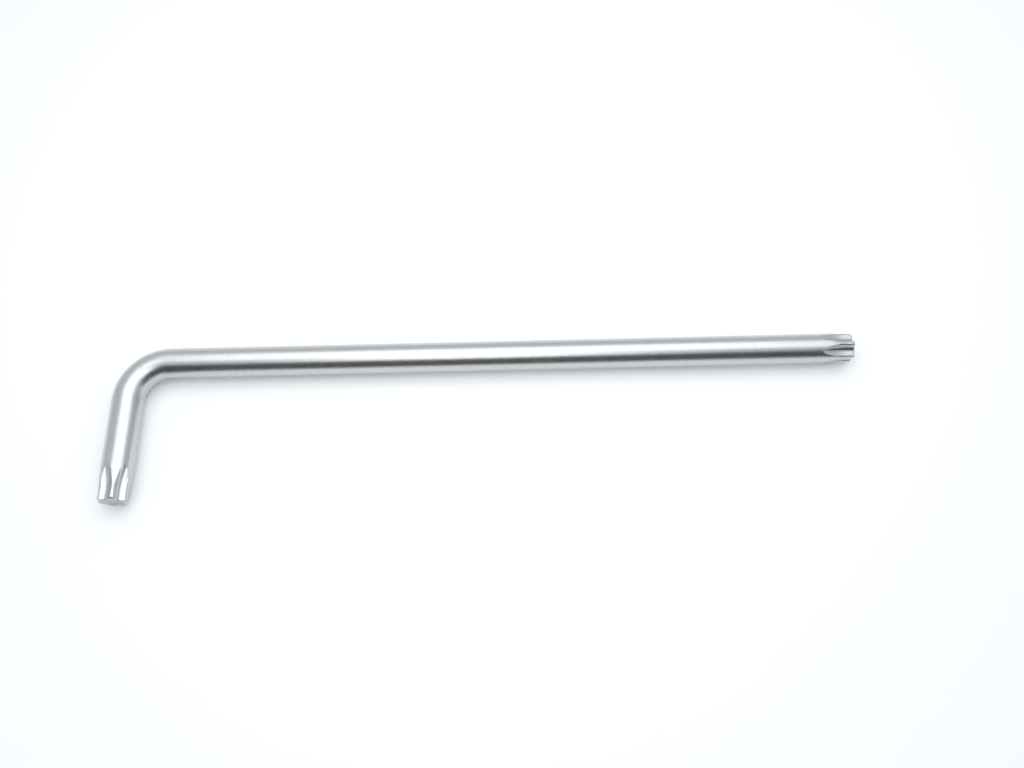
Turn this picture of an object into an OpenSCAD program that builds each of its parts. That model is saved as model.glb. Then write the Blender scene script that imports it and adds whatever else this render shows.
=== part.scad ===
// Long L-shaped star key: one round bar, bent once, with a six-lobed star tip cut on each end.
// It lies flat on Z = 0 with the long arm along +X and the short arm towards -Y.
// The origin is the centre of its outline's box on the surface that it lies on.

/* [Bar] */
// Diameter of the round bar
bar_d = 7; // [6.8:0.1:9]
// Long arm, from the outer side of the short arm to the end face
long_reach = 172.4; // [90:0.1:300]
// Short arm, from the outer side of the long arm to the end face
short_reach = 36.7; // [28:0.1:60]
// Bend radius at the middle of the bar
bend_r = 9.2; // [5:0.1:12]

/* [Star] */
// Diameter over the lobes
star_a = 6.65; // [6.3:0.01:6.75]
// Diameter at the bottom of the flutes
star_b = 4.77; // [4.5:0.01:5]
// Rounding of each lobe
lobe_r = 0.55; // [0.45:0.01:0.65]
// Width of the flat that is left on top of each lobe
lobe_land = 0.4; // [0.3:0.01:0.5]
// Break of the edge at the end face
end_break = 0.25; // [0.1:0.01:0.5]

/* [Flutes] */
// Length of the full star on the long arm
long_star = 1.8; // [0.8:0.1:6]
// Length of the full star on the short arm
short_star = 1.9; // [0.8:0.1:6]
// Radius of the form wheel that cuts the flutes and leaves their run-out
wheel_r = 16; // [8:0.5:24]
// Length of the cone from the lobes up to the round bar
neck = 3.2; // [2.4:0.1:4]
// Turn of the long arm's star, from a lobe straight up towards the short arm's side
long_turn = 4; // [-30:0.5:30]
// Turn of the short arm's star, from a lobe straight up towards the long arm's side
short_turn = 18.5; // [-30:0.5:30]

/* [Hidden] */
$fn = 96;

lobes = 6;
half_pitch = 180 / lobes;
bar_r = bar_d / 2;

// The flute's arc crosses the lobe's arc this deep, so that they meet in a clean faint edge
bite = 0.008;
// How far a cut runs past the surface that it cuts
over = 1;
// Lean of the wheel's flanks, above the roundings that it gives the lobes
flank = 3 / 4 * half_pitch;

// Middle of a lobe's rounding, from the axis, so that the flat on top comes out at its width
lobe_at = sqrt(star_a ^ 2 - lobe_land ^ 2) / 2 - sqrt(lobe_r ^ 2 - (lobe_land / 2) ^ 2);
// Radius of the flute's arc that bottoms at star_b and runs into both of its lobes
bitten_r = lobe_r - bite;
flute_r = (lobe_at ^ 2 + (star_b / 2) ^ 2 - lobe_at * star_b * cos(half_pitch) - bitten_r ^ 2)
    / (2 * lobe_at * cos(half_pitch) + 2 * bitten_r - star_b);
flute_at = star_b / 2 + flute_r;

// The wheel is clear of the bar after this much of a turn, and after this much of its length
wheel_at = star_b / 2 + wheel_r;
leave = acos((wheel_at - bar_r - over) / wheel_r);
run_out = wheel_r * sin(leave);

// Section that the form wheel cuts away between two lobes, with the bar's axis at the origin
module flute_section() {
    lobe_mid = lobe_at * [cos(half_pitch), sin(half_pitch)];
    top = bar_r + over;
    side = lobe_mid.y + (top - lobe_mid.x) * tan(flank);
    difference() {
        union() {
            translate([flute_at, 0]) circle(flute_r);
            polygon([
                [flute_at, 0], lobe_mid, [top, side],
                [top, -side], [lobe_mid.x, -lobe_mid.y]
            ]);
        }
        for (way = [-1, 1])
            translate([lobe_mid.x, way * lobe_mid.y]) circle(lobe_r);
    }
}

// One flute: from Z = 0 up through the end at full depth, and down from there as the wheel runs out
module flute(star_len) {
    linear_extrude(star_len + over) flute_section();
    translate([wheel_at, 0, 0])
        rotate([-90, 0, 180])
            rotate_extrude(angle = leave)
                translate([wheel_at, 0]) mirror([1, 0]) flute_section();
}

// A star tip that stands on Z = 0: the bar, a cone down to the lobes, the full star and its end face
module star_tip(star_len, turn) {
    star_at = run_out;
    end = star_at + star_len;
    lobe_top = star_a / 2;
    difference() {
        rotate_extrude()
            polygon([
                [0, 0], [bar_r, 0], [bar_r, star_at - neck], [lobe_top, star_at],
                [lobe_top, end - end_break], [lobe_top - end_break, end], [0, end]
            ]);
        translate([0, 0, star_at])
            for (i = [0 : lobes - 1])
                rotate([0, 0, turn + (2 * i + 1) * half_pitch])
                    flute(star_len);
    }
}

// An arm that stands on Z = 0, the end of the bend: straight bar, then its star tip
module arm(reach, star_len, turn) {
    straight = reach - bar_r - bend_r - run_out - star_len;
    cylinder(h = straight, r = bar_r);
    translate([0, 0, straight])
        star_tip(star_len, turn);
}

// Quarter bend round its own middle, from the long arm's end to the short arm's
module bend() {
    rotate([0, 0, 90])
        rotate_extrude(angle = 90)
            translate([bend_r, 0]) circle(bar_r);
}

module key() {
    bend_at = bar_r + bend_r;
    color("silver")
        translate([bend_at - long_reach / 2, short_reach / 2 - bend_at, bar_r]) {
            bend();
            translate([0, bend_r, 0])
                rotate([0, 90, 0]) arm(long_reach, long_star, long_turn);
            translate([-bend_r, 0, 0])
                rotate([90, 0, 0]) arm(short_reach, short_star, 90 - short_turn);
        }
}

key();
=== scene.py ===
import math

import bmesh
import bpy
from mathutils import Matrix, Vector


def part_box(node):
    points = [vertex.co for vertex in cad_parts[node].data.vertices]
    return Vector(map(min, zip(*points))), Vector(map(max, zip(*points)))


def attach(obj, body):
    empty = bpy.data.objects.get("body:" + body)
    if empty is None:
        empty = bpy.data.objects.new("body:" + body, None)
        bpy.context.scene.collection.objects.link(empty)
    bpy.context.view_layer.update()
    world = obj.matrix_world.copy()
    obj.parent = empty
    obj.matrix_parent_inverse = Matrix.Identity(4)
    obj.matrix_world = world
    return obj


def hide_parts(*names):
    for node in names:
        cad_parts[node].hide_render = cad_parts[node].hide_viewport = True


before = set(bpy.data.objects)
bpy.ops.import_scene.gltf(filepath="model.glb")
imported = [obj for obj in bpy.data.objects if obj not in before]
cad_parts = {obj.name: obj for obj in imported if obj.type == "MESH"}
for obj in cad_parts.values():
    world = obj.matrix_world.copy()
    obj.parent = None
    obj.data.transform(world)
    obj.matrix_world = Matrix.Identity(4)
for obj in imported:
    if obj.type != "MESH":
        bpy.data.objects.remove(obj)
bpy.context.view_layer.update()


# Star tips: each end of the steel bar is turned down a little and fluted by a form wheel, which lifts out
# again and leaves the pointed run-outs. Each ring of the tip is one cut across it, and the next ring is
# extruded from it, from the flat end face up to where the last of the flutes is gone.
MM = 0.001
low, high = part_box("key")
bar_r = (high.z - low.z) / 2
star_a = 6.65 * MM
star_b = 4.77 * MM
lobe_r = 0.55 * MM
lobe_land = 0.4 * MM
end_break = 0.25 * MM
wheel_r = 16 * MM
neck = 3.2 * MM
long_star = 1.8 * MM
short_star = 1.9 * MM
long_turn = math.radians(4)
short_turn = math.radians(18.5)

lobes = 6
pitch = math.tau / lobes
lobe_at = math.sqrt(star_a ** 2 - lobe_land ** 2) / 2 - math.sqrt(lobe_r ** 2 - (lobe_land / 2) ** 2)
lobe_mid = lobe_at * Vector((math.cos(pitch / 2), math.sin(pitch / 2)))
# The arc of a flute bottoms at star_b and touches the roundings of both its lobes
flute_r = (lobe_mid.length_squared + (star_b / 2) ** 2 - lobe_mid.x * star_b - lobe_r ** 2) / (
    2 * lobe_mid.x + 2 * lobe_r - star_b
)
flute_mid = star_b / 2 + flute_r
touch = lobe_mid.y * flute_r / (flute_r + lobe_r)
wheel_at = star_b / 2 + wheel_r
run_out = math.sqrt(wheel_r ** 2 - (wheel_at - bar_r) ** 2)

# Rings are closer together where a flute's edge turns faster, and columns are closer at its edges
star_rings = 4
run_out_rings = 40
flute_columns = 12
land_columns = 16
flute_points = 2 * flute_columns + 1
pitch_points = flute_points + land_columns
beside_edge = {(edge + step) % pitch_points for edge in (0, flute_points - 1) for step in (-1, 0, 1)}
edge_soft = 0.04 * MM


def flute_floor(across, run):
    """Height of a flute's floor over the bar's axis, this far from its middle and past the full star."""
    side = abs(across)
    if side < touch:
        height = flute_mid - math.sqrt(flute_r ** 2 - side ** 2)
    else:
        height = lobe_mid.x + math.sqrt(max(lobe_r ** 2 - (side - lobe_mid.y) ** 2, 0))
    return wheel_at - math.sqrt((wheel_at - height) ** 2 - run ** 2)


def flute_edge(radius, run):
    """How far from a flute's middle its floor comes up through the round blank of this radius."""
    inside, outside = 0.0, lobe_mid.y + lobe_r
    for _ in range(50):
        middle = (inside + outside) / 2
        if math.hypot(flute_floor(middle, run), middle) < radius:
            inside = middle
        else:
            outside = middle
    return inside


def star_outline(radius, run, turn):
    """Points round the tip: six times a flute from edge to edge, and the land up to the next flute."""
    edge = flute_edge(radius, run)
    shares = [math.sin(math.pi / 2 * i / flute_columns) for i in range(-flute_columns, flute_columns + 1)]
    points = [Vector((flute_floor(edge * share, run), edge * share)) for share in shares]
    half = math.atan2(points[-1].y, points[-1].x)
    for i in range(1, land_columns + 1):
        angle = half + (pitch - 2 * half) * i / (land_columns + 1)
        points.append(radius * Vector((math.cos(angle), math.sin(angle))))
    return [Matrix.Rotation(turn + (k + 0.5) * pitch, 2) @ p for k in range(lobes) for p in points]


def tip_rings(star_len):
    """Distance from the end face, radius of the blank and distance past the full star, ring by ring."""
    lobe_top = star_a / 2
    yield edge_soft, lobe_top - end_break + edge_soft, 0
    yield end_break, lobe_top, 0
    for i in range(1, star_rings):
        yield end_break + (star_len - end_break) * i / star_rings, lobe_top, 0
    for i in range(run_out_rings + 1):
        run = run_out * (1 - (1 - i / run_out_rings) ** 2)
        yield star_len + run, lobe_top + (bar_r - lobe_top) * min(run / neck, 1), run


def next_ring(mesh, ring, column, spot):
    """Extrudes a ring of edges and puts each new vertex where spot places its column."""
    grown = bmesh.ops.extrude_edge_only(mesh, edges=ring)["geom"]
    for vert in grown:
        if isinstance(vert, bmesh.types.BMVert):
            vert.co = spot(vert[column])
    return [edge for edge in grown if isinstance(edge, bmesh.types.BMEdge) and edge.is_boundary]


def star_arm(mesh, column, place, length, star_len, turn):
    """One arm from its end face to the bend, with place taking its own frame to the key's."""
    def on(outline, along):
        return lambda c: place @ Vector((*outline[c], along))

    face = star_outline(star_a / 2 - end_break, 0, turn)
    circle = bmesh.ops.create_circle(mesh, segments=len(face), radius=bar_r)["verts"]
    shrink = 1 - edge_soft / (star_b / 2)
    for i, vert in enumerate(circle):
        vert[column] = i
        vert.co = place @ Vector((*(shrink * face[i]), 0))
    ring = list({edge for vert in circle for edge in vert.link_edges})
    end_edges = list(ring)
    edges_of_flutes = []
    for along, radius, run in tip_rings(star_len):
        ring = next_ring(mesh, ring, column, on(star_outline(radius, run, turn), along))
        if run < run_out:
            verts = {vert for edge in ring for vert in edge.verts}
            edges_of_flutes += [vert for vert in verts if vert[column] % pitch_points in beside_edge]

    # Past the run-outs every flute is down to one point, and the columns even out round the plain bar
    points = list({vert for edge in ring for vert in edge.verts})
    bmesh.ops.remove_doubles(mesh, verts=points, dist=edge_soft / 100)
    ring = list({edge for vert in points if vert.is_valid for edge in vert.link_edges if edge.is_boundary})
    spacing = pitch / (land_columns + 1)
    start = round((turn + pitch / 2) / spacing)

    def on_bar(along):
        def spot(c):
            k, i = divmod(c, pitch_points)
            angle = spacing * (start + k * (land_columns + 1) + max(i - flute_points + 1, 0))
            return place @ Vector((bar_r * math.cos(angle), bar_r * math.sin(angle), along))
        return spot

    even = star_len + run_out + bar_r / 2
    ring = next_ring(mesh, ring, column, on_bar(even))
    ring = next_ring(mesh, ring, column, on_bar(length))

    # Tumbling takes the sharpness off the flutes' edges
    for _ in range(3):
        bmesh.ops.smooth_vert(
            mesh, verts=edges_of_flutes, factor=0.5, use_axis_x=True, use_axis_y=True, use_axis_z=True
        )
    return end_edges, ring


# Bar and bend: one round bar, bent cold round a former after its ends were cut.
# The long arm's last ring is spun through the bend and meets the short arm's.
bend_r = 9.2 * MM
bend_steps = 64
bend_at = Vector((low.x + bar_r + bend_r, high.y - bar_r - bend_r, bar_r))
long_end = Vector((high.x, high.y - bar_r, bar_r))
short_end = Vector((low.x + bar_r, low.y, bar_r))
long_place = Matrix.Translation(long_end) @ Matrix(((0, 0, -1), (0, 1, 0), (1, 0, 0))).to_4x4()
short_place = Matrix.Translation(short_end) @ Matrix(((0, 1, 0), (0, 0, 1), (1, 0, 0))).to_4x4()


def add_object(name, mesh):
    """Puts a finished bmesh into the scene as an object of this name."""
    data = bpy.data.meshes.new(name)
    mesh.to_mesh(data)
    mesh.free()
    made = bpy.data.objects.new(name, data)
    bpy.context.collection.objects.link(made)
    return made


mesh = bmesh.new()
column = mesh.verts.layers.int.new("column")
long_edges, long_ring = star_arm(mesh, column, long_place, long_end.x - bend_at.x, long_star, -long_turn)
short_edges, short_ring = star_arm(
    mesh, column, short_place, bend_at.y - short_end.y, short_star, short_turn
)
bent =bmesh.ops.spin(
    mesh, geom=long_ring, cent=bend_at, axis=(0, 0, 1), angle=math.pi / 2, steps=bend_steps, use_merge=False
)["geom_last"]
seam = {vert for item in bent if isinstance(item, bmesh.types.BMEdge) for vert in item.verts}
seam |= {vert for edge in short_ring for vert in edge.verts}
bmesh.ops.remove_doubles(mesh, verts=list(seam), dist=edge_soft / 10)

satin, bright, ground = range(3)
for face in mesh.faces:
    columns = [vert[column] % pitch_points for vert in face.verts]
    face.smooth = True
    face.material_index = bright if max(columns) < flute_points and max(columns) > min(columns) else satin
for edges in (long_edges, short_edges):
    for face in bmesh.ops.contextual_create(mesh, geom=edges)["faces"]:
        face.material_index = ground
bmesh.ops.recalc_face_normals(mesh, faces=mesh.faces)
mesh.verts.layers.int.remove(column)
key = add_object("star_key", mesh)
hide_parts("key")
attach(key, "root")


# Plating: thin bright plate over ground and tumbled tool steel. The bar keeps a satin grain from the
# tumbling, so what it mirrors is soft, while the flutes are smoother and show it more sharply.
# The real grain, of a few hundredths of a millimetre, is too fine to show, so it is drawn coarser.
grain_mm = 0.24
speckle_mm = 0.4
drift_mm = 1.6
# Nearly all values of a noise texture lie between these two
noise_low, noise_high = 0.3, 0.7


def linear(hex_colour):
    """Linear RGBA of an sRGB hex colour."""
    parts = [int(hex_colour[i:i + 2], 16) / 255 for i in (1, 3, 5)]
    return [c / 12.92 if c <= 0.04045 else ((c + 0.055) / 1.055) ** 2.4 for c in parts] + [1]


def add_node(tree, kind, settings=None, inputs=None):
    """Adds a node with its settings, and sets or links its inputs."""
    node = tree.nodes.new(kind)
    for name, value in (settings or {}).items():
        setattr(node, name, value)
    for name, value in (inputs or {}).items():
        if isinstance(value, bpy.types.NodeSocket):
            tree.links.new(value, node.inputs[name])
        else:
            node.inputs[name].default_value = value
    return node


def empty_material(name):
    """Material without any nodes yet."""
    material = bpy.data.materials.new(name)
    material.use_nodes = True
    material.node_tree.nodes.clear()
    return material


def plated_steel(name, tones, roughness, grain_depth_mm):
    """Plate speckled between two tones, with a drift between two roughnesses and grain this deep."""
    material = empty_material(name)
    tree = material.node_tree
    place = add_node(tree, "ShaderNodeTexCoord").outputs["Object"]
    grain = add_node(tree, "ShaderNodeTexNoise", {"noise_dimensions": "3D"}, {
        "Vector": place, "Scale": 1 / (grain_mm * MM), "Detail": 0.0,
    })
    speckle = add_node(tree, "ShaderNodeTexNoise", {"noise_dimensions": "3D"}, {
        "Vector": place, "Scale": 1 / (speckle_mm * MM), "Detail": 1.0, "Roughness": 0.6,
    })
    drift = add_node(tree, "ShaderNodeTexNoise", {"noise_dimensions": "3D"}, {
        "Vector": place, "Scale": 1 / (drift_mm * MM), "Detail": 3.0, "Roughness": 0.7,
    })
    share = add_node(tree, "ShaderNodeMapRange", None, {
        "Value": speckle.outputs["Fac"], "From Min": noise_low, "From Max": noise_high,
    })
    tone = add_node(tree, "ShaderNodeMix", {"data_type": "RGBA"}, {
        0: share.outputs["Result"], 6: linear(tones[0]), 7: linear(tones[1]),
    })
    rough = add_node(tree, "ShaderNodeMapRange", None, {
        "Value": drift.outputs["Fac"], "From Min": noise_low, "From Max": noise_high,
        "To Min": roughness[0], "To Max": roughness[1],
    })
    bump = add_node(tree, "ShaderNodeBump", None, {
        "Height": grain.outputs["Fac"], "Strength": 1.0, "Distance": grain_depth_mm * MM,
    })
    shader = add_node(tree, "ShaderNodeBsdfPrincipled", None, {
        "Base Color": tone.outputs[2], "Metallic": 1.0,
        "Roughness": rough.outputs["Result"], "Normal": bump.outputs["Normal"],
    })
    add_node(tree, "ShaderNodeOutputMaterial", None, {"Surface": shader.outputs["BSDF"]})
    return material


# On the bar: cool grey with long soft bands of light and dark, whose edges the grain breaks up a little
key.data.materials.append(plated_steel("satin_plated_steel", ("#C4C5C5", "#D0D1D1"), (0.28, 0.35), 0.014))
# In the flutes: the same plate on the wheel's smoother cut, so narrow streaks that stay clean
key.data.materials.append(plated_steel("bright_plated_flute", ("#C7C8C8", "#CDCECE"), (0.27, 0.33), 0.006))
# On the end faces: plate on a sawn and tumbled face, duller and more evenly grey
key.data.materials.append(plated_steel("plated_end_face", ("#B6B7B7", "#C2C3C3"), (0.38, 0.45), 0.014))


# Floor: a wide sheet of matt white paper, laid out flat under the key.
# It gives an even white without a sheen, on which the key's shadow stays soft and pale.
sheet = bmesh.new()
bmesh.ops.create_grid(sheet, x_segments=1, y_segments=1, size=20.0)
floor = add_object("floor", sheet)
# A faint glow, which the camera and the plate see but which lights nothing, clears the white of grey
paper_glow = 0.06
paper = empty_material("matt_white_paper")
rays = add_node(paper.node_tree, "ShaderNodeLightPath").outputs
seen = rays["Is Camera Ray"]
for kind in ("Is Glossy Ray", "Is Transmission Ray"):
    either = add_node(paper.node_tree, "ShaderNodeMath", {"operation": "MAXIMUM"}, {0: seen, 1: rays[kind]})
    seen = either.outputs["Value"]
glow = add_node(paper.node_tree, "ShaderNodeMath", {"operation": "MULTIPLY"}, {0: seen, 1: paper_glow})
paper_shader = add_node(paper.node_tree, "ShaderNodeBsdfPrincipled", None, {
    "Base Color": linear("#F7F9F8"), "Roughness": 0.9, "Specular IOR Level": 0.1,
    "Emission Color": linear("#FFFFFF"), "Emission Strength": glow.outputs["Value"],
})
add_node(paper.node_tree, "ShaderNodeOutputMaterial", None, {"Surface": paper_shader.outputs["BSDF"]})
floor.data.materials.append(paper)


# Studio: a wide soft box over and behind the key, a round lamp over the front of it, pale walls all round,
# and a dark card that stands in front. Only the plate sees the card, and gets its dark band from it.
def area_lamp(name, shape, wide, deep, energy, place):
    """Lamp that shines straight down, and that the camera doesn't see."""
    data = bpy.data.lights.new(name, "AREA")
    data.shape = shape
    data.size, data.size_y = wide, deep
    data.energy = energy
    lamp = bpy.data.objects.new(name, data)
    lamp.location = place
    lamp.visible_camera = False
    bpy.context.collection.objects.link(lamp)


area_lamp("softbox", "RECTANGLE", 0.33, 0.21, 0.257, (0.008, 0.085, 0.205))
area_lamp("round_lamp", "DISK", 0.14, 0.14, 0.07, (-0.012, -0.07, 0.204))

card_wide, card_tall = 0.8, 0.3
card_at = Vector((0, -0.2, card_tall / 2))
card_sheet = bmesh.new()
bmesh.ops.create_grid(
    card_sheet, x_segments=1, y_segments=1, size=0.5,
    matrix=Matrix.LocRotScale(card_at, Matrix.Rotation(math.pi / 2, 3, "X"), (card_wide, card_tall, 1)),
)
card = add_object("dark_card", card_sheet)
card.visible_camera = False
card.visible_diffuse = False
card.visible_shadow = False
board = empty_material("dark_grey_board")
board_shader = add_node(board.node_tree, "ShaderNodeBsdfPrincipled", None, {
    "Base Color": linear("#4B4846"), "Roughness": 1.0, "Specular IOR Level": 0.0,
})
add_node(board.node_tree, "ShaderNodeOutputMaterial", None, {"Surface": board_shader.outputs["BSDF"]})
card.data.materials.append(board)

# The room is a little brighter up and behind the key than in front of it
brightest_way = (-0.3, 0.5, 0.8)
world = bpy.data.worlds.new("pale_room")
bpy.context.scene.world = world
world.use_nodes = True
world.node_tree.nodes.clear()
towards = add_node(world.node_tree, "ShaderNodeTexCoord").outputs["Generated"]
behind = add_node(world.node_tree, "ShaderNodeVectorMath", {"operation": "DOT_PRODUCT"}, {
    0: towards, 1: brightest_way,
})
level = add_node(world.node_tree, "ShaderNodeMapRange", None, {
    "Value": behind.outputs["Value"], "From Min": -0.3, "From Max": 0.9, "To Min": 0.6, "To Max": 0.78,
})
walls = add_node(world.node_tree, "ShaderNodeBackground", None, {
    "Color": linear("#F2F8FF"), "Strength": level.outputs["Result"],
})
add_node(world.node_tree, "ShaderNodeOutputWorld", None, {"Surface": walls.outputs["Background"]})


# Camera: above the key and a little in front of it, at the photograph's angle.
camera_data = bpy.data.cameras.new("camera")
camera_data.sensor_width = 36
camera_data.lens = 30.59
camera_data.clip_start = 0.01
camera = bpy.data.objects.new("camera", camera_data)
camera.location = Vector((4.5, -70.15, 190.3)) * MM
camera.rotation_euler = (math.radians(22.61), math.radians(0.11), math.radians(-1.40))
bpy.context.collection.objects.link(camera)
bpy.context.scene.camera = camera
bpy.context.scene.view_settings.view_transform = "Standard"
